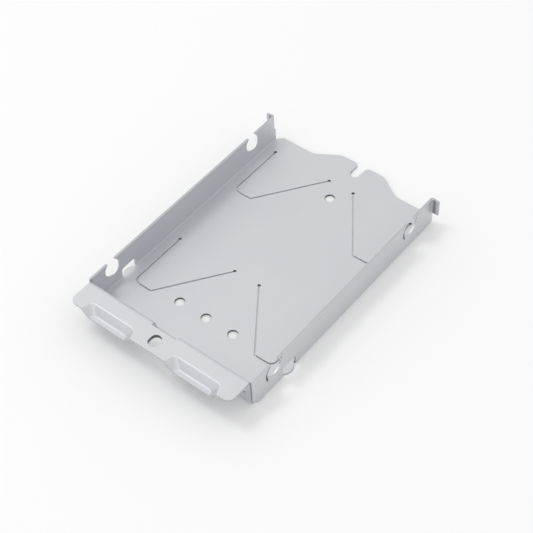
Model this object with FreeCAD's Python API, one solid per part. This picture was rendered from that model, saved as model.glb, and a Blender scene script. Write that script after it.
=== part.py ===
import FreeCAD, Part
import math
import os

# Mounting bracket for a 2.5 inch drive, pressed and folded from one sheet.
# Millimetres. X runs across the tray, Y along it with the lip at the front
# (-Y), Z up. The origin lies on the underside of the floor, on the centre
# line, half way between the front and the rear drive notches.

V = FreeCAD.Vector
X_AXIS = V(1, 0, 0)
Y_AXIS = V(0, 1, 0)
Z_AXIS = V(0, 0, 1)

# Sheet and bends: tight along the side walls, easier across the front
SHEET = 0.8
SIDE_BEND_IN = 0.2
SIDE_BEND_OUT = SIDE_BEND_IN + SHEET
BEND_IN = 0.8
BEND_OUT = BEND_IN + SHEET

# The drive this bracket carries: side screw pitch and the clear width it needs
DRIVE_PITCH = 76.6
FRONT_SCREW = -DRIVE_PITCH / 2
REAR_SCREW = DRIVE_PITCH / 2
TRAY_INSIDE = 70.4

# Tray; the walls run on past the drive's screws by the stated lengths
TRAY_WIDE = TRAY_INSIDE + 2 * SHEET
HALF_WIDE = TRAY_WIDE / 2
FLAT_HALF = HALF_WIDE - SIDE_BEND_OUT
WALL_TOP = 12.6
WALL_AHEAD = 9.5
WALL_BEHIND = 13.8
WALL_FRONT = FRONT_SCREW - WALL_AHEAD
WALL_REAR = REAR_SCREW + WALL_BEHIND

# Front wall and lip
FRONT_BEND = WALL_FRONT
FRONT_FACE = FRONT_BEND - BEND_OUT
LIP_LONG = 9.95
LIP_FRONT = FRONT_FACE - LIP_LONG
LIP_IN = 1.25
LIP_HALF = HALF_WIDE - LIP_IN
LIP_CORNER = 2.6

# Front end of each side wall: rounded in towards the front wall, leaving a narrow seam
SEAM = 0.6
CURL_FOOT = 2.1
RELIEF_R = 0.7

# Fixing slot in the lip, with its drawn edge, and the window in the upper bend behind it
FIXING_X = -0.45
FIXING_WIDE = 3.9
FIXING_LONG = 5.1
FIXING_BACK = 5.6
FIXING_Y = FRONT_FACE - FIXING_BACK
COLLAR_DEPTH = 1.5
COLLAR_WALL = 0.5
WINDOW_HALF = 5.3
WINDOW_CUT = 1.2
WINDOW_FRONT = FRONT_FACE - WINDOW_CUT
WINDOW_SILL = 9.8

# Window low in the front wall, seen only through the fixing slot
FOOT_WINDOW_HALF = 9.6
FOOT_WINDOW_TOP = 5.8
FOOT_WINDOW_REACH = 1.9
FOOT_WINDOW_ROUND = 1.0

# Finger pads pressed down out of the lip, wider at the front than at the back
PAD_CENTRE = 18.4
PAD_HALF = 11.0
PAD_LONG = 3.7
PAD_REAR = LIP_FRONT + PAD_LONG
PAD_DROP = 3.2
PAD_FLARE = 0.38
PAD_END_SLOPE = 1.75
PAD_REAR_SLOPE = 1.7
PAD_TOP_ROUND = 0.8
PAD_FOOT_ROUND = 0.9
PAD_CORNER = 2.0
PAD_OVERRUN = 4.0

# Small round hole near each end of the front wall
END_HOLE_IN = 2.95
END_HOLE_X = LIP_HALF - END_HOLE_IN
END_HOLE_Z = 6.3
END_HOLE_R = 1.3

# Drive notches, open at the wall top
NOTCH_Z = 9.25
NOTCH_R = 3.4
NOTCH_MOUTH = 3.7
DISH_R = 4.15
DISH_SLOPE = 0.9
DISH_DEEP = 0.4
DISH_BELOW = 0.8
DIMPLE_BEHIND = 4.2
DIMPLE_Z = 11.45
DIMPLE_R = 0.85
DIMPLE_DEEP = 0.35

# Lance behind each front notch: window in the wall, half-round tab in the floor plane
LANCE_BEHIND = 7.5
LANCE_Y = FRONT_SCREW + LANCE_BEHIND
LANCE_HALF = 3.45
LANCE_TOP = 4.65
LANCE_ROUND = 1.1
TAB_R = 4.0
TAB_PROUD = 0.75
TAB_REACH = HALF_WIDE + TAB_PROUD

# Ears folded outwards at the rear end of the walls
EAR_PROUD = 2.7
EAR_REACH = HALF_WIDE + EAR_PROUD
EAR_FOOT = 5.8
EAR_TOP_SLOPE = 0.4
EAR_TOP_FLAT = 0.5

# Tongues cut free in the floor by three-sided slots
SLOT_WIDE = 0.6
SLOT_END_R = 0.6
FRONT_TIP_BEHIND = 5.0
FRONT_TIP = FRONT_SCREW + FRONT_TIP_BEHIND
REAR_TIP_AHEAD = 16.6
REAR_TIP = REAR_SCREW - REAR_TIP_AHEAD
TONGUE_LONG = 24.45
TONGUE_OUTER = 30.8
TONGUE_TIP_INNER = 23.2
TONGUE_ROOT_INNER = 5.45
TONGUE_CORNER = 2.5

# Round holes in the floor
FLOOR_HOLE_R = 1.9
ROW_BEHIND = 7.4
FRONT_ROW_Y = FRONT_SCREW + ROW_BEHIND
FRONT_ROW_PITCH = 11.8
REAR_HOLE_BEHIND = 0.9
REAR_HOLE_Y = REAR_SCREW + REAR_HOLE_BEHIND

# Rear edge of the floor
FLOOR_BEHIND = 2.0
REAR_BASE = WALL_REAR + FLOOR_BEHIND
REAR_CORNER = 1.9
BULGE_LONG = 5.75
BULGE_REAR = REAR_BASE + BULGE_LONG
BULGE_HALF = 9.7
BULGE_FOOT_HALF = 18.7
BULGE_ROUND = 7.0
KEY_HALF = 1.85
KEY_DEEP = 6.9
KEY_BOTTOM = BULGE_REAR - KEY_DEEP
KEY_MOUTH_ROUND = 1.9


def block(x0, x1, y0, y1, z0, z1):
    return Part.makeBox(x1 - x0, y1 - y0, z1 - z0, V(x0, y0, z0))


def mirrored(shape):
    return shape.mirror(V(0, 0, 0), X_AXIS)


def rounded_outline(corners, z):
    # Closed outline through (x, y, radius) corners, each rounded by its radius
    count = len(corners)
    joints = []
    for i in range(count):
        x, y, radius = corners[i]
        here = V(x, y, z)
        back = V(corners[i - 1][0], corners[i - 1][1], z) - here
        ahead = V(corners[(i + 1) % count][0], corners[(i + 1) % count][1], z) - here
        back.normalize()
        ahead.normalize()
        if radius == 0:
            joints.append((here, None, here))
            continue
        half = back.getAngle(ahead) / 2
        run = radius / math.tan(half)
        middle = back + ahead
        middle.normalize()
        centre = here + middle * (radius / math.sin(half))
        joints.append((here + back * run, centre - middle * radius, here + ahead * run))
    edges = []
    for i in range(count):
        start, mid, end = joints[i]
        if mid is not None:
            edges.append(Part.Arc(start, mid, end).toShape())
        following = joints[(i + 1) % count][0]
        if end.distanceToPoint(following) > 1e-6:
            edges.append(Part.LineSegment(end, following).toShape())
    return Part.Wire(edges)


def plate(corners, z0, z1):
    return Part.Face(rounded_outline(corners, z0)).extrude(V(0, 0, z1 - z0))


def quarter_bend(radius_in, radius_out, length, direction):
    # Quarter ring in the local XY plane, swept along the given direction
    ring = Part.makeCylinder(radius_out, length, V(0, 0, 0), direction)
    return ring.cut(Part.makeCylinder(radius_in, length, V(0, 0, 0), direction))


def side_wall():
    # Right-hand wall with the tight bend that joins it to the floor
    length = WALL_REAR - WALL_FRONT
    ring = quarter_bend(SIDE_BEND_IN, SIDE_BEND_OUT, length, Y_AXIS)
    ring = ring.common(block(0, SIDE_BEND_OUT, 0, length, -SIDE_BEND_OUT, 0))
    ring.translate(V(FLAT_HALF, WALL_FRONT, SIDE_BEND_OUT))
    upright = block(HALF_WIDE - SHEET, HALF_WIDE, WALL_FRONT, WALL_REAR, SIDE_BEND_OUT, WALL_TOP)
    return ring.fuse(upright)


def front_curl():
    # The wall's front end rounded in towards the front wall, as far as the seam
    height = WALL_TOP - CURL_FOOT
    ring = quarter_bend(BEND_IN, BEND_OUT, height, Z_AXIS)
    ring = ring.common(block(0, BEND_OUT, -BEND_OUT, 0, 0, height))
    ring.translate(V(HALF_WIDE - BEND_OUT, WALL_FRONT, CURL_FOOT))
    return ring.common(block(LIP_HALF + SEAM, HALF_WIDE + 1, WALL_FRONT - BEND_OUT - 1,
                             WALL_FRONT, 0, WALL_TOP + 1))


def rear_ear():
    # The upper part of the wall end is folded outwards by ninety degrees
    height = WALL_TOP - EAR_FOOT
    ring = quarter_bend(SIDE_BEND_IN, SIDE_BEND_OUT, height, Z_AXIS)
    ring = ring.common(block(-SIDE_BEND_OUT, 0, 0, SIDE_BEND_OUT, 0, height))
    ring.translate(V(HALF_WIDE + SIDE_BEND_IN, WALL_REAR - SIDE_BEND_OUT, EAR_FOOT))
    x0 = HALF_WIDE + SIDE_BEND_IN
    drop = WALL_TOP - EAR_TOP_SLOPE
    face = Part.makePolygon([
        V(x0, WALL_REAR - SHEET, EAR_FOOT),
        V(EAR_REACH, WALL_REAR - SHEET, EAR_FOOT),
        V(EAR_REACH, WALL_REAR - SHEET, drop),
        V(x0 + EAR_TOP_FLAT, WALL_REAR - SHEET, WALL_TOP),
        V(x0, WALL_REAR - SHEET, WALL_TOP),
        V(x0, WALL_REAR - SHEET, EAR_FOOT),
    ])
    leaf = Part.Face(face).extrude(V(0, SHEET, 0))
    return ring.fuse(leaf)


def ear_room():
    # What the fold takes away from the straight wall above the ear foot
    return block(HALF_WIDE - SHEET - 1, HALF_WIDE + 1,
                 WALL_REAR - SIDE_BEND_OUT, WALL_REAR + 1, EAR_FOOT, WALL_TOP + 1)


def floor_plate():
    foot = BULGE_FOOT_HALF
    chamfer = FLAT_HALF - REAR_CORNER
    corners = [
        (-FLAT_HALF, FRONT_BEND, 0),
        (FLAT_HALF, FRONT_BEND, 0),
        (FLAT_HALF, REAR_BASE - REAR_CORNER, 0.6),
        (chamfer, REAR_BASE, 1.0),
        (foot, REAR_BASE, BULGE_ROUND),
        (BULGE_HALF, BULGE_REAR, BULGE_ROUND),
        (KEY_HALF, BULGE_REAR, KEY_MOUTH_ROUND),
        (KEY_HALF, KEY_BOTTOM, KEY_HALF - 0.01),
        (-KEY_HALF, KEY_BOTTOM, KEY_HALF - 0.01),
        (-KEY_HALF, BULGE_REAR, KEY_MOUTH_ROUND),
        (-BULGE_HALF, BULGE_REAR, BULGE_ROUND),
        (-foot, REAR_BASE, BULGE_ROUND),
        (-chamfer, REAR_BASE, 1.0),
        (-FLAT_HALF, REAR_BASE - REAR_CORNER, 0.6),
    ]
    return plate(corners, 0, SHEET)


def front_wall_and_lip():
    # Folded up out of the floor and forwards again into the lip
    length = 2 * LIP_HALF
    lower = quarter_bend(BEND_IN, BEND_OUT, length, X_AXIS)
    lower = lower.common(block(0, length, -BEND_OUT, 0, -BEND_OUT, 0))
    lower.translate(V(-LIP_HALF, FRONT_BEND, BEND_OUT))
    upright = block(-LIP_HALF, LIP_HALF, FRONT_FACE, FRONT_FACE + SHEET,
                    BEND_OUT, WALL_TOP - BEND_OUT)
    upper = quarter_bend(BEND_IN, BEND_OUT, length, X_AXIS)
    upper = upper.common(block(0, length, 0, BEND_OUT, 0, BEND_OUT))
    upper.translate(V(-LIP_HALF, FRONT_FACE - BEND_IN, WALL_TOP - BEND_OUT))
    corners = [
        (-LIP_HALF, FRONT_FACE - BEND_IN, 0),
        (-LIP_HALF, LIP_FRONT, LIP_CORNER),
        (LIP_HALF, LIP_FRONT, LIP_CORNER),
        (LIP_HALF, FRONT_FACE - BEND_IN, 0),
    ]
    lip = plate(corners, WALL_TOP - SHEET, WALL_TOP)
    return lower.fuse([upright, upper, lip])


def pad_block(side_top, rear_top, side_foot, rear_foot, top, foot):
    # Tapered block of one pad, run out past the lip; the offsets place its skin
    y_far = LIP_FRONT - PAD_OVERRUN
    half_top = PAD_HALF - PAD_FLARE * PAD_LONG + side_top
    half_foot = half_top - side_top - PAD_END_SLOPE + side_foot
    rear = PAD_REAR + rear_top
    rear_low = PAD_REAR - PAD_REAR_SLOPE + rear_foot
    spread = PAD_FLARE * (rear - y_far)
    top_wire = rounded_outline([
        (-half_top - spread, y_far, 0),
        (half_top + spread, y_far, 0),
        (half_top, rear, PAD_CORNER + side_top),
        (-half_top, rear, PAD_CORNER + side_top),
    ], top)
    foot_wire = rounded_outline([
        (-half_foot, y_far, 0),
        (half_foot, y_far, 0),
        (half_foot, rear_low, PAD_CORNER + side_foot),
        (-half_foot, rear_low, PAD_CORNER + side_foot),
    ], foot)
    return Part.makeLoft([top_wire, foot_wire], True, True)


def foot_edges(solid, level):
    # Edges round the pad's floor, the front one left out
    edges = []
    for edge in solid.Edges:
        box = edge.BoundBox
        flat = abs(box.ZMin - level) < 1e-4 and abs(box.ZMax - level) < 1e-4
        if flat and box.YMax > LIP_FRONT - PAD_OVERRUN + 0.01:
            edges.append(edge)
    return edges


def with_finger_pads(sheet):
    # Each pad is a pocket pressed down from the lip and open at its front edge
    low = WALL_TOP - PAD_DROP
    end_angle = math.atan2(PAD_DROP, PAD_END_SLOPE)
    rear_angle = math.atan2(PAD_DROP, PAD_REAR_SLOPE)
    pocket = pad_block(0, 0, 0, 0, WALL_TOP, low)
    pocket = pocket.makeFillet(PAD_FOOT_ROUND, foot_edges(pocket, low))
    shell = pad_block(SHEET / math.sin(end_angle), SHEET / math.sin(rear_angle),
                      SHEET * math.tan(end_angle / 2), SHEET * math.tan(rear_angle / 2),
                      WALL_TOP, low - SHEET)
    shell = shell.makeFillet(PAD_FOOT_ROUND + SHEET, foot_edges(shell, low - SHEET))
    shell = shell.common(block(-2 * PAD_HALF, 2 * PAD_HALF, LIP_FRONT, PAD_REAR + 2 * SHEET,
                               low - 2 * SHEET, WALL_TOP))
    for side in (-1, 1):
        move = V(side * PAD_CENTRE, 0, 0)
        skin = shell.copy()
        skin.translate(move)
        hollow = pocket.copy()
        hollow.translate(move)
        sheet = sheet.fuse(skin)
        sheet = sheet.cut(hollow)
    return sheet.makeFillet(PAD_TOP_ROUND, pad_rims(sheet))


def pad_rims(sheet):
    # Top edges of both pockets, where the lip turns down into them
    reach = PAD_HALF + 0.1
    rims = []
    for edge in sheet.Edges:
        box = edge.BoundBox
        level = abs(box.ZMin - WALL_TOP) < 1e-4 and abs(box.ZMax - WALL_TOP) < 1e-4
        off_centre = abs(abs((box.XMin + box.XMax) / 2) - PAD_CENTRE)
        inside = off_centre + (box.XMax - box.XMin) / 2 < reach
        behind = LIP_FRONT + 0.01 < box.YMax < PAD_REAR + 0.1
        if level and inside and behind:
            rims.append(edge)
    return rims


def obround(wide, long, z0, z1):
    # Upright cutter with half-round ends, centred on the fixing slot
    radius = wide / 2
    run = long / 2 - radius
    body = block(FIXING_X - radius, FIXING_X + radius, FIXING_Y - run, FIXING_Y + run, z0, z1)
    ends = [Part.makeCylinder(radius, z1 - z0, V(FIXING_X, FIXING_Y + s * run, z0)) for s in (-1, 1)]
    return body.fuse(ends)


def with_fixing_slot(sheet):
    # Drawn slot: the sheet runs down into a short edge under the lip
    foot = WALL_TOP - COLLAR_DEPTH
    wall = 2 * COLLAR_WALL
    collar = obround(FIXING_WIDE + wall, FIXING_LONG + wall, foot, WALL_TOP)
    return sheet.fuse(collar).cut(obround(FIXING_WIDE, FIXING_LONG, foot - 1, WALL_TOP + 1))


def foot_window():
    # Cut across the lower front bend, rounded in the wall and in the floor
    window = block(FIXING_X - FOOT_WINDOW_HALF, FIXING_X + FOOT_WINDOW_HALF,
                   FRONT_FACE - SHEET, FRONT_BEND + FOOT_WINDOW_REACH, -SHEET, FOOT_WINDOW_TOP)
    upper = [e for e in window.Edges
             if e.BoundBox.YLength > 1 and abs(e.BoundBox.ZMin - FOOT_WINDOW_TOP) < 0.01]
    rear = [e for e in window.Edges
            if e.BoundBox.ZLength > 1 and abs(e.BoundBox.YMin - FRONT_BEND - FOOT_WINDOW_REACH) < 0.01]
    return window.makeFillet(FOOT_WINDOW_ROUND, upper + rear)


def front_openings():
    window = block(FIXING_X - WINDOW_HALF, FIXING_X + WINDOW_HALF,
                   WINDOW_FRONT, FRONT_FACE + 2 * SHEET, WINDOW_SILL, WALL_TOP + 1)
    holes = [window, foot_window()]
    for side in (-1, 1):
        holes.append(Part.makeCylinder(END_HOLE_R, 4 * SHEET,
                                       V(side * END_HOLE_X, FRONT_FACE - SHEET, END_HOLE_Z), Y_AXIS))
        holes.append(Part.makeCylinder(RELIEF_R, 4 * SHEET,
                                       V(side * (LIP_HALF + SEAM / 2), WALL_FRONT, -SHEET), Z_AXIS))
    return holes


def drive_notch(y):
    # Round seat with an open mouth, in a shallow dish pressed into the outer face
    outer = HALF_WIDE
    through = Part.makeCylinder(NOTCH_R, 3 * SHEET, V(outer - 2 * SHEET, y, NOTCH_Z), X_AXIS)
    mouth = block(outer - 2 * SHEET, outer + SHEET, y - NOTCH_MOUTH / 2, y + NOTCH_MOUTH / 2,
                  NOTCH_Z, WALL_TOP + 1)
    dish = Part.makeCone(DISH_R - DISH_SLOPE, DISH_R, DISH_DEEP,
                         V(outer - DISH_DEEP, y, NOTCH_Z - DISH_BELOW), X_AXIS)
    ball = (DIMPLE_R ** 2 + DIMPLE_DEEP ** 2) / (2 * DIMPLE_DEEP)
    dimple = Part.makeSphere(ball, V(outer + ball - DIMPLE_DEEP, y + DIMPLE_BEHIND, DIMPLE_Z))
    return [through, mouth, dish, dimple]


def lance_window():
    # Window cut in the wall foot; its metal stays down as the half-round tab
    window = Part.Face(Part.Wire([
        Part.LineSegment(V(0, -LANCE_HALF, -SHEET), V(0, LANCE_HALF, -SHEET)).toShape(),
        Part.LineSegment(V(0, LANCE_HALF, -SHEET),
                         V(0, LANCE_HALF, LANCE_TOP - LANCE_ROUND)).toShape(),
        Part.Arc(V(0, LANCE_HALF, LANCE_TOP - LANCE_ROUND),
                 V(0, LANCE_HALF - LANCE_ROUND * (1 - math.sqrt(0.5)),
                   LANCE_TOP - LANCE_ROUND * (1 - math.sqrt(0.5))),
                 V(0, LANCE_HALF - LANCE_ROUND, LANCE_TOP)).toShape(),
        Part.LineSegment(V(0, LANCE_HALF - LANCE_ROUND, LANCE_TOP),
                         V(0, LANCE_ROUND - LANCE_HALF, LANCE_TOP)).toShape(),
        Part.Arc(V(0, LANCE_ROUND - LANCE_HALF, LANCE_TOP),
                 V(0, LANCE_ROUND * (1 - math.sqrt(0.5)) - LANCE_HALF,
                   LANCE_TOP - LANCE_ROUND * (1 - math.sqrt(0.5))),
                 V(0, -LANCE_HALF, LANCE_TOP - LANCE_ROUND)).toShape(),
        Part.LineSegment(V(0, -LANCE_HALF, LANCE_TOP - LANCE_ROUND),
                         V(0, -LANCE_HALF, -SHEET)).toShape(),
    ]))
    window.translate(V(FLAT_HALF, LANCE_Y, 0))
    return window.extrude(V(SIDE_BEND_OUT + SHEET, 0, 0))


def floor_tab():
    disc = Part.makeCylinder(TAB_R, SHEET, V(TAB_REACH - TAB_R, LANCE_Y, 0))
    return disc.common(block(FLAT_HALF - 0.2, TAB_REACH + 1,
                             LANCE_Y - LANCE_HALF, LANCE_Y + LANCE_HALF, 0, SHEET))


def strip(start, end, width):
    # Straight cutter of the given width between two plan points
    along = end - start
    length = along.Length
    cutter = Part.makeBox(length, width, 3 * SHEET, V(0, -width / 2, -SHEET))
    cutter.rotate(V(0, 0, 0), Z_AXIS, math.degrees(math.atan2(along.y, along.x)))
    cutter.translate(start)
    return cutter


def pin(centre, radius):
    return Part.makeCylinder(radius, 3 * SHEET, centre + V(0, 0, -SHEET))


def tongue_slot(tip):
    # Outer leg beside the wall, rounded corner, tip edge, slanted inner leg
    root = tip + TONGUE_LONG
    outer_end = V(TONGUE_OUTER, root, 0)
    inner_end = V(TONGUE_ROOT_INNER, root, 0)
    inner_corner = V(TONGUE_TIP_INNER, tip, 0)
    turn = V(TONGUE_OUTER - TONGUE_CORNER, tip + TONGUE_CORNER, 0)
    half = SLOT_WIDE / 2
    corner = pin(turn, TONGUE_CORNER + half).cut(pin(turn, TONGUE_CORNER - half))
    corner = corner.common(block(turn.x, turn.x + 2 * TONGUE_CORNER,
                                 turn.y - 2 * TONGUE_CORNER, turn.y, -SHEET, 2 * SHEET))
    return [
        strip(outer_end, V(TONGUE_OUTER, turn.y, 0), SLOT_WIDE),
        corner,
        strip(V(turn.x, tip, 0), inner_corner, SLOT_WIDE),
        pin(inner_corner, half),
        strip(inner_corner, inner_end, SLOT_WIDE),
        pin(outer_end, SLOT_END_R),
        pin(inner_end, SLOT_END_R),
    ]


def floor_holes():
    places = [(0, FRONT_ROW_Y), (FRONT_ROW_PITCH, FRONT_ROW_Y),
              (-FRONT_ROW_PITCH, FRONT_ROW_Y), (0, REAR_HOLE_Y)]
    return [pin(V(x, y, 0), FLOOR_HOLE_R) for x, y in places]


# Folded tray
wall = side_wall().cut(ear_room()).fuse([rear_ear(), front_curl()])
wall_cuts = drive_notch(FRONT_SCREW) + drive_notch(REAR_SCREW) + [lance_window()]
wall = wall.cut(wall_cuts).fuse(floor_tab())

front = with_fixing_slot(with_finger_pads(front_wall_and_lip()))

floor_cuts = floor_holes()
for tip_y in (FRONT_TIP, REAR_TIP):
    slot = tongue_slot(tip_y)
    floor_cuts += slot
    floor_cuts += [mirrored(piece) for piece in slot]
floor = floor_plate().cut(floor_cuts)

bracket = floor.fuse([wall, mirrored(wall), front])
bracket = bracket.cut(front_openings())
bracket = bracket.removeSplitter()

os.makedirs("parts", exist_ok=True)
bracket.Solids[0].exportStep("parts/drive_bracket.step")
print("solids", len(bracket.Solids), "valid", bracket.isValid(), "volume", bracket.Volume)
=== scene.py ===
import bpy
import math
from mathutils import Matrix, Vector


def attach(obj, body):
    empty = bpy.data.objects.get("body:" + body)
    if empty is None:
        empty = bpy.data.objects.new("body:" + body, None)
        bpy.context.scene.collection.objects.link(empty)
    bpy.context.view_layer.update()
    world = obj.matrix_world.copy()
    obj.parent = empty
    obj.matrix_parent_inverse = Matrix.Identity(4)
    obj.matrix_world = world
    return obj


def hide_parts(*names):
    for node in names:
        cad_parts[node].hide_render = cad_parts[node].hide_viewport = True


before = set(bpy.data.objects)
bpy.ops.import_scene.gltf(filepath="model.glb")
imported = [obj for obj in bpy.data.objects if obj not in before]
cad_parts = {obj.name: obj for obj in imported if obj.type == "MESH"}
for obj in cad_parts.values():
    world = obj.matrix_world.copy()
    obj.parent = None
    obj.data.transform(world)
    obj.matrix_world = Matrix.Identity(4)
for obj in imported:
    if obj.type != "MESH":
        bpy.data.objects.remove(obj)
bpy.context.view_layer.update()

# The bracket.
# One piece of sheet steel, blanked, pierced, pressed and folded, and taken as cold
# rolled steel with a thin zinc plating. Its sharp edges are broken by a hair, and
# the bends and the drawn finger pads are smooth.
MM = 0.001
SHEET_MM = 0.8
WALL_OUT_MM = 36.0
WALL_TOP_MM = 12.6
FRONT_BEND_MM = -47.8
FRONT_FACE_MM = -49.4
LIP_FRONT_MM = -59.35
LIP_HALF_MM = 34.75
LIP_CORNER_MM = 2.6
SEAM_MM = 0.6
FIXING_MM = (-0.45, -55.0)
PIERCED_MM = ((11.8, -30.9, 1.9), (0.0, -30.9, 1.9), (0.0, 39.2, 1.9),
              (30.8, -8.85, 0.6), (5.45, -8.85, 0.6), (30.8, 46.15, 0.6), (5.45, 46.15, 0.6))
EAR_FRONT_MM = 51.3
TAB_ENDS_MM = (-34.4, -27.2)
NOTCH_MM = 38.3
NOTCH_Z_MM = 9.25
SEAT_MM = 4.3
SEAT_Z_MM = 8.45
PIP_MM = (4.2, 11.45)
BURR_MM = 0.05


def srgb(code):
    value = [int(code[i:i + 2], 16) / 255 for i in (0, 2, 4)]
    linear = [c / 12.92 if c <= 0.04045 else ((c + 0.055) / 1.055) ** 2.4 for c in value]
    return (*linear, 1.0)


def add_node(tree, kind, settings=(), sockets=(), links=()):
    node = tree.nodes.new(kind)
    for name, value in dict(settings).items():
        setattr(node, name, value)
    for name, value in dict(sockets).items():
        node.inputs[name].default_value = value
    for name, source in dict(links).items():
        tree.links.new(source, node.inputs[name])
    return node


def empty_material(name):
    made = bpy.data.materials.new(name)
    made.use_nodes = True
    made.node_tree.nodes.clear()
    return made, made.node_tree


# A soft arc in the plane of a side wall, around a point given by y and z, on the
# side that the lean points to. Point and band are in millimetres, and the spread
# is about the cosine of the widest angle off the lean.
FADE_MM = 0.15
FADE_TURN = 0.15


def arc_mask(tree, place, centre, band, lean, spread):
    offset = add_node(tree, "ShaderNodeVectorMath", {"operation": "MULTIPLY_ADD"},
                      {1: (0.0, 1.0, 1.0), 2: (0.0, -centre[0] * MM, -centre[1] * MM)},
                      {0: place.outputs["Object"]})
    reach = add_node(tree, "ShaderNodeVectorMath", {"operation": "LENGTH"},
                     links={0: offset.outputs["Vector"]})
    along = add_node(tree, "ShaderNodeVectorMath", {"operation": "DOT_PRODUCT"},
                     {1: (0.0, *lean)}, {0: offset.outputs["Vector"]})
    bearing = add_node(tree, "ShaderNodeMath", {"operation": "DIVIDE"},
                       links={0: along.outputs["Value"], 1: reach.outputs["Value"]})
    limits = ((reach.outputs["Value"], (band[0] - FADE_MM) * MM, (band[0] + FADE_MM) * MM),
              (reach.outputs["Value"], (band[1] + FADE_MM) * MM, (band[1] - FADE_MM) * MM),
              (bearing.outputs["Value"], spread - FADE_TURN, spread + FADE_TURN))
    mask = None
    for value, start, end in limits:
        part = add_node(tree, "ShaderNodeMapRange", {"interpolation_type": "SMOOTHSTEP"},
                        {"From Min": start, "From Max": end}, {"Value": value})
        mask = part if mask is None else add_node(
            tree, "ShaderNodeMath", {"operation": "MULTIPLY"},
            links={0: mask.outputs[0], 1: part.outputs[0]})
    return mask


# One mask that is at each point as strong as the strongest of several.
def strongest(tree, masks):
    most = masks[0]
    for mask in masks[1:]:
        most = add_node(tree, "ShaderNodeMath", {"operation": "MAXIMUM"},
                        links={0: most.outputs[0], 1: mask.outputs[0]})
    return most


# A mask that fades in along a distance, from start to end in millimetres.
def limited(tree, mask, distance, start, end):
    gate = add_node(tree, "ShaderNodeMapRange", sockets={"From Min": start * MM, "From Max": end * MM},
                    links={"Value": distance})
    return add_node(tree, "ShaderNodeMath", {"operation": "MULTIPLY"},
                    links={0: mask.outputs[0], 1: gate.outputs[0]})


# Taken as electro-galvanised cold rolled steel. The thin zinc is matt and faintly
# cloudy, so the sheet reads as an even, cool satin grey. The rolls leave a grain
# along the strip, finer than the render can show, so it is drawn 0.45 mm wide.
# On both side walls a dark arc on the front side of each screw seat and of the
# dimple at each notch's rear tip, and a dark band in each ear's fold, are painted
# shade, and a bright rim on the lower rear of each notch is a painted highlight.
# Whether they are wear, shadow or reflection can't be told from it, so they are
# drawn as tints, and repeated on the left side, which the photograph hides.
CLOUD_MM = 14
GRAIN_MM = 0.45
GRAIN_LENGTH_MM = 16
SEAT_ARC = ((3.6, 4.55), (-0.9, 0.43), 0.55)
PIP_ARC = ((0.3, 1.0), (-0.8, 0.6), 0.2)
NOTCH_RIM = ((3.3, 3.75), (0.5, -0.87), 0.88)
OUTER_FACE_MM = (35.3, 35.5)
WHOLE_WALL_MM = (35.1, 35.2)
FOLD_START_MM = (36.1, 36.8)
FOLD_END_MM = (37.2, 38.0)
FOLD_FRONT_MM = (50.9, 51.1)


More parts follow.
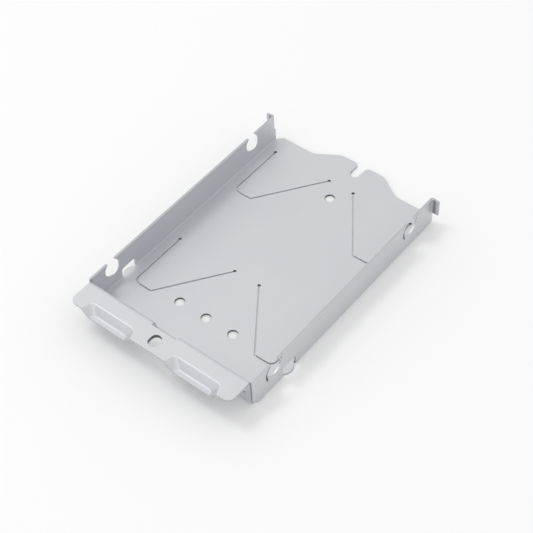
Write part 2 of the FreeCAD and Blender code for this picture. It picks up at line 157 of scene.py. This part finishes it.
def zinc_plated_steel():
    made, tree = empty_material("zinc_plated_steel")
    place = add_node(tree, "ShaderNodeTexCoord")
    cloud = add_node(tree, "ShaderNodeTexNoise",
                     sockets={"Scale": 1 / (CLOUD_MM * MM), "Detail": 3.0, "Roughness": 0.5},
                     links={"Vector": place.outputs["Object"]})
    grain_scale = (1 / (GRAIN_MM * MM), 1 / (GRAIN_LENGTH_MM * MM), 1 / (GRAIN_MM * MM))
    along = add_node(tree, "ShaderNodeMapping", sockets={"Scale": grain_scale},
                     links={"Vector": place.outputs["Object"]})
    grain = add_node(tree, "ShaderNodeTexNoise",
                     sockets={"Scale": 1.0, "Detail": 4.0, "Roughness": 0.6},
                     links={"Vector": along.outputs["Vector"]})
    tint = add_node(tree, "ShaderNodeMix", {"data_type": "RGBA"},
                    {"A": srgb("CDCFD4"), "B": srgb("D3D4D7")},
                    {"Factor": cloud.outputs["Fac"]})
    streak = add_node(tree, "ShaderNodeMapRange",
                      sockets={"From Min": 0.3, "From Max": 0.7, "To Min": 0.994, "To Max": 1.006},
                      links={"Value": grain.outputs["Fac"]})
    shade = add_node(tree, "ShaderNodeMix", {"data_type": "RGBA", "blend_type": "MULTIPLY"},
                     {"Factor": 1.0},
                     {"A": tint.outputs["Result"], "B": streak.outputs["Result"]})
    dull = add_node(tree, "ShaderNodeMapRange",
                    sockets={"From Min": 0.25, "From Max": 0.75, "To Min": 0.46, "To Max": 0.54},
                    links={"Value": cloud.outputs["Fac"]})
    relief = add_node(tree, "ShaderNodeBump",
                      sockets={"Strength": 0.04, "Distance": 0.01 * MM},
                      links={"Height": grain.outputs["Fac"]})
    axes = add_node(tree, "ShaderNodeSeparateXYZ", links={"Vector": place.outputs["Object"]})
    side = add_node(tree, "ShaderNodeMath", {"operation": "ABSOLUTE"}, links={0: axes.outputs["X"]})
    painted_shade_arcs, painted_highlight_rims = [], []
    # Painted shade: a dark arc on the front side of each screw seat and of the dimple at each notch's rear
    # tip.
    for notch in (-NOTCH_MM, NOTCH_MM):
        painted_shade_arcs.append(arc_mask(tree, place, (notch, SEAT_Z_MM), *SEAT_ARC))
        painted_shade_arcs.append(arc_mask(tree, place, (notch + PIP_MM[0], PIP_MM[1]), *PIP_ARC))
        # Painted highlight: a bright rim on the lower rear of each notch.
        painted_highlight_rims.append(arc_mask(tree, place, (notch, NOTCH_Z_MM), *NOTCH_RIM))
    painted_shade_arcs = limited(tree, strongest(tree, painted_shade_arcs), side.outputs[0], *OUTER_FACE_MM)
    painted_highlight_rims = limited(tree, strongest(tree, painted_highlight_rims), side.outputs[0], *WHOLE_WALL_MM)
    # Painted shade in the hollow of each ear's fold.
    painted_fold_shade = add_node(tree, "ShaderNodeMapRange",
                         sockets={"From Min": FOLD_END_MM[1] * MM, "From Max": FOLD_END_MM[0] * MM},
                         links={"Value": side.outputs[0]})
    painted_fold_shade = limited(tree, painted_fold_shade, side.outputs[0], *FOLD_START_MM)
    painted_fold_shade = limited(tree, painted_fold_shade, axes.outputs["Y"], *FOLD_FRONT_MM)
    # The painted shade and painted highlight tints are mixed over the plated tint.
    painted_marks = ((painted_shade_arcs, "2C2D2F", 0.9), (painted_fold_shade, "4A4B4E", 0.6), (painted_highlight_rims, "FFFFFF", 0.9))
    skin_tint = shade.outputs["Result"]
    for mask, colour, most in painted_marks:
        part = add_node(tree, "ShaderNodeMapRange", sockets={"To Max": most},
                        links={"Value": mask.outputs[0]})
        marked = add_node(tree, "ShaderNodeMix", {"data_type": "RGBA"}, {"B": srgb(colour)},
                          {"Factor": part.outputs[0], "A": skin_tint})
        skin_tint = marked.outputs["Result"]
    skin = add_node(tree, "ShaderNodeBsdfPrincipled",
                    sockets={"Metallic": 0.8},
                    links={"Base Color": skin_tint,
                           "Roughness": dull.outputs["Result"],
                           "Normal": relief.outputs["Normal"]})
    add_node(tree, "ShaderNodeOutputMaterial", links={"Surface": skin.outputs["BSDF"]})
    return made


# The same sheet where the shears and punches cut it, taken as bare steel. It is a
# little darker than the plated faces, with short upright streaks of torn metal
# that are drawn coarse enough to show.
TEAR_MM = 0.25
TEAR_LENGTH_MM = 1.2


def sheared_edge():
    made, tree = empty_material("sheared_steel_edge")
    place = add_node(tree, "ShaderNodeTexCoord")
    across = add_node(tree, "ShaderNodeMapping",
                      sockets={"Scale": (1 / (TEAR_MM * MM), 1 / (TEAR_MM * MM), 1 / (TEAR_LENGTH_MM * MM))},
                      links={"Vector": place.outputs["Object"]})
    torn = add_node(tree, "ShaderNodeTexNoise",
                    sockets={"Scale": 1.0, "Detail": 2.0, "Roughness": 0.5},
                    links={"Vector": across.outputs["Vector"]})
    tint = add_node(tree, "ShaderNodeMix", {"data_type": "RGBA"},
                    {"A": srgb("B8BABE"), "B": srgb("C4C6CA")},
                    {"Factor": torn.outputs["Fac"]})
    relief = add_node(tree, "ShaderNodeBump",
                      sockets={"Strength": 0.4, "Distance": 0.02 * MM},
                      links={"Height": torn.outputs["Fac"]})
    skin = add_node(tree, "ShaderNodeBsdfPrincipled",
                    sockets={"Metallic": 0.8, "Roughness": 0.5},
                    links={"Base Color": tint.outputs["Result"],
                           "Normal": relief.outputs["Normal"]})
    add_node(tree, "ShaderNodeOutputMaterial", links={"Surface": skin.outputs["BSDF"]})
    return made


# The bores of the pierced holes, the slot ends and the fixing slot, drawn in a
# dark steel grey, much darker than the faces, with a mottle that is drawn coarse
# enough to show. They are taken as bare, burnished steel, with rub marks that
# are drawn coarse enough to show.
MOTTLE_MM = 0.6


def punched_bore():
    made, tree = empty_material("punched_bore")
    place = add_node(tree, "ShaderNodeTexCoord")
    mottle = add_node(tree, "ShaderNodeTexNoise",
                   sockets={"Scale": 1 / (MOTTLE_MM * MM), "Detail": 2.0, "Roughness": 0.5},
                   links={"Vector": place.outputs["Object"]})
    tint = add_node(tree, "ShaderNodeMix", {"data_type": "RGBA"},
                    {"A": srgb("5C5D60"), "B": srgb("76777A")},
                    {"Factor": mottle.outputs["Fac"]})
    skin = add_node(tree, "ShaderNodeBsdfPrincipled",
                    sockets={"Metallic": 0.8, "Roughness": 0.4},
                    links={"Base Color": tint.outputs["Result"]})
    add_node(tree, "ShaderNodeOutputMaterial", links={"Surface": skin.outputs["BSDF"]})
    return made


# A face counts as a bore by its place, unless it lies flat.
HOLE_SLACK_MM = 0.1
FIXING_REACH_MM = (2.9, 3.2)
FIXING_LOW_MM = 11.3
LYING = 0.5


def is_bore(face):
    x, y, z = (c / MM for c in face.center)
    if abs(face.normal[2]) > LYING:
        return False
    if z < SHEET_MM:
        return any(math.hypot(abs(x) - hole[0], y - hole[1]) < hole[2] + HOLE_SLACK_MM for hole in PIERCED_MM)
    near_fixing = abs(x - FIXING_MM[0]) < FIXING_REACH_MM[0] and abs(y - FIXING_MM[1]) < FIXING_REACH_MM[1]
    return z > FIXING_LOW_MM and near_fixing


# A face counts as sheared by its place and by how far it looks along each axis:
# under EDGE_ON it stands on edge to the axis, and over SQUARE it faces it.
EDGE_ON = 0.3
SQUARE = 0.9
WALL_RIM = 0.95
REAR_CUTS_MM = 6
EAR_ROOT_MM = 1
TOP_SLACK_MM = 0.01
SEAM_SLACK_MM = 0.03
SIDE_SLACK_MM = 0.1
FRONT_SLACK_MM = 0.02


def is_sheared(face):
    x, y, z = (abs(face.center[0]) / MM, face.center[1] / MM, face.center[2] / MM)
    across, along, upward = (abs(c) for c in face.normal)
    wall_in = WALL_OUT_MM - SHEET_MM
    if z < SHEET_MM and upward < EDGE_ON and y > FRONT_BEND_MM:
        return y > EAR_FRONT_MM - REAR_CUTS_MM or TAB_ENDS_MM[0] < y < TAB_ENDS_MM[1]
    if wall_in < x < WALL_OUT_MM and z > SHEET_MM and along + upward > WALL_RIM:
        near_seat = min(abs(y - NOTCH_MM), abs(y + NOTCH_MM)) < SEAT_MM
        seat = near_seat and z < WALL_TOP_MM - TOP_SLACK_MM
        return not seat and (y > FRONT_BEND_MM or upward > SQUARE)
    if x > WALL_OUT_MM and y > EAR_FRONT_MM - EAR_ROOT_MM:
        return along < EDGE_ON
    if y < FRONT_BEND_MM and across > SQUARE and z < WALL_TOP_MM - SHEET_MM:
        return min(abs(x - LIP_HALF_MM), abs(x - LIP_HALF_MM - SEAM_MM)) < SEAM_SLACK_MM
    if FRONT_FACE_MM < y < FRONT_FACE_MM + SHEET_MM and along < EDGE_ON:
        return True
    if z > WALL_TOP_MM - SHEET_MM and y < FRONT_FACE_MM:
        corner = x > LIP_HALF_MM - LIP_CORNER_MM and y < LIP_FRONT_MM + LIP_CORNER_MM
        return upward < EDGE_ON and (corner or x > LIP_HALF_MM - SIDE_SLACK_MM)
    return y < LIP_FRONT_MM + FRONT_SLACK_MM and along > SQUARE


# The bracket shown is a merged copy of the CAD solid. Only its sharp edges change:
# they are broken by the burr's width.
MERGE_MM = 0.001
FLAT_DEGREES = 0.3
BURR_DEGREES = 40
SMOOTH_DEGREES = 50
FLAT_WEIGHT = 80
PLATED, SHEARED, BORE = range(3)

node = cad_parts["drive_bracket"]
bpy.ops.object.select_all(action="DESELECT")
bracket = node.copy()
bracket.data = node.data.copy()
bracket.name = "pressed_bracket"
bpy.context.scene.collection.objects.link(bracket)
bpy.context.view_layer.objects.active = bracket
bracket.select_set(True)
bpy.ops.object.mode_set(mode="EDIT")
bpy.ops.mesh.select_all(action="SELECT")
bpy.ops.mesh.remove_doubles(threshold=MERGE_MM * MM)
bpy.ops.mesh.dissolve_limited(angle_limit=math.radians(FLAT_DEGREES))
bpy.ops.object.mode_set(mode="OBJECT")
bracket.data.materials.clear()
for finish in (zinc_plated_steel(), sheared_edge(), punched_bore()):
    bracket.data.materials.append(finish)
for face in bracket.data.polygons:
    face.material_index = BORE if is_bore(face) else SHEARED if is_sheared(face) else PLATED
burr = bracket.modifiers.new("burr", "BEVEL")
burr.width = BURR_MM * MM
burr.segments = 2
burr.limit_method = "ANGLE"
burr.angle_limit = math.radians(BURR_DEGREES)
burr.use_clamp_overlap = False
burr.loop_slide = False
bpy.ops.object.modifier_apply(modifier=burr.name)
bpy.ops.object.shade_smooth_by_angle(angle=math.radians(SMOOTH_DEGREES))
flats = bracket.modifiers.new("flats", "WEIGHTED_NORMAL")
flats.keep_sharp = True
flats.weight = FLAT_WEIGHT
bpy.ops.object.modifier_apply(modifier=flats.name)
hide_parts("drive_bracket")
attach(bracket, "root")

# The table and the studio.
# Plain matt white paper, a hair below the sheet so that they share no plane, in a
# light tent: a soft box above and to the left of the bracket, a weak one in front,
# and bright cloth all round, with strengths fitted to the photograph's tones.
TABLE_GAP_MM = 0.03
TABLE_M = 6.0
TENT_STRENGTH = 0.92
AIM = Vector((0.0, 0.0, 0.0))

bpy.ops.object.select_all(action="DESELECT")
bpy.ops.mesh.primitive_plane_add(size=TABLE_M, location=(0.0, 0.0, -TABLE_GAP_MM * MM))
table = bpy.context.active_object
table.name = "table"
paper = bpy.data.materials.new("seamless_paper")
paper.use_nodes = True
paper_skin = paper.node_tree.nodes["Principled BSDF"]
paper_skin.inputs["Base Color"].default_value = srgb("F4F4F4")
paper_skin.inputs["Roughness"].default_value = 0.9
paper_skin.inputs["Specular IOR Level"].default_value = 0.0
table.data.materials.append(paper)

room = bpy.data.worlds.new("light_tent")
room.use_nodes = True
room.node_tree.nodes["Background"].inputs["Color"].default_value = srgb("FFFFFF")
room.node_tree.nodes["Background"].inputs["Strength"].default_value = TENT_STRENGTH
bpy.context.scene.world = room


def soft_box(name, place, size, power):
    lamp = bpy.data.lights.new(name, "AREA")
    lamp.shape = "SQUARE"
    lamp.size = size
    lamp.energy = power
    holder = bpy.data.objects.new(name, lamp)
    bpy.context.scene.collection.objects.link(holder)
    holder.location = place
    holder.rotation_euler = (AIM - Vector(place)).to_track_quat("-Z", "Y").to_euler()


soft_box("crest_box", (-0.5, -0.15, 1.0), size=0.3, power=1.9)
soft_box("front_box", (0.0, -1.1, 0.5), size=0.6, power=0.8)

# The camera.
# It stands at the photograph's viewing angle. Its place, turn and lens were solved
# from points and edges of the photograph, with the drive's size for the scale.
LENS_MM = 93.21
SENSOR_MM = 36.0
CLIP_M = (0.01, 10.0)
STAND = Vector((0.20979, -0.24013, 0.36574))
AZIMUTH = 40.918
ELEVATION = 49.010
ROLL = -3.104

azimuth, elevation = math.radians(AZIMUTH), math.radians(ELEVATION)
back = Vector((math.sin(azimuth) * math.cos(elevation),
               -math.cos(azimuth) * math.cos(elevation),
               math.sin(elevation)))
right = Vector((math.cos(azimuth), math.sin(azimuth), 0.0))
up = back.cross(right)
turn = Matrix((right, up, back)).transposed() @ Matrix.Rotation(math.radians(ROLL), 3, "Z")
lens = bpy.data.cameras.new("camera")
lens.sensor_width = SENSOR_MM
lens.lens = LENS_MM
lens.clip_start, lens.clip_end = CLIP_M
camera = bpy.data.objects.new("camera", lens)
bpy.context.scene.collection.objects.link(camera)
camera.matrix_world = Matrix.Translation(STAND) @ turn.to_4x4()
bpy.context.scene.camera = camera

bpy.context.scene.view_settings.view_transform = "Standard"
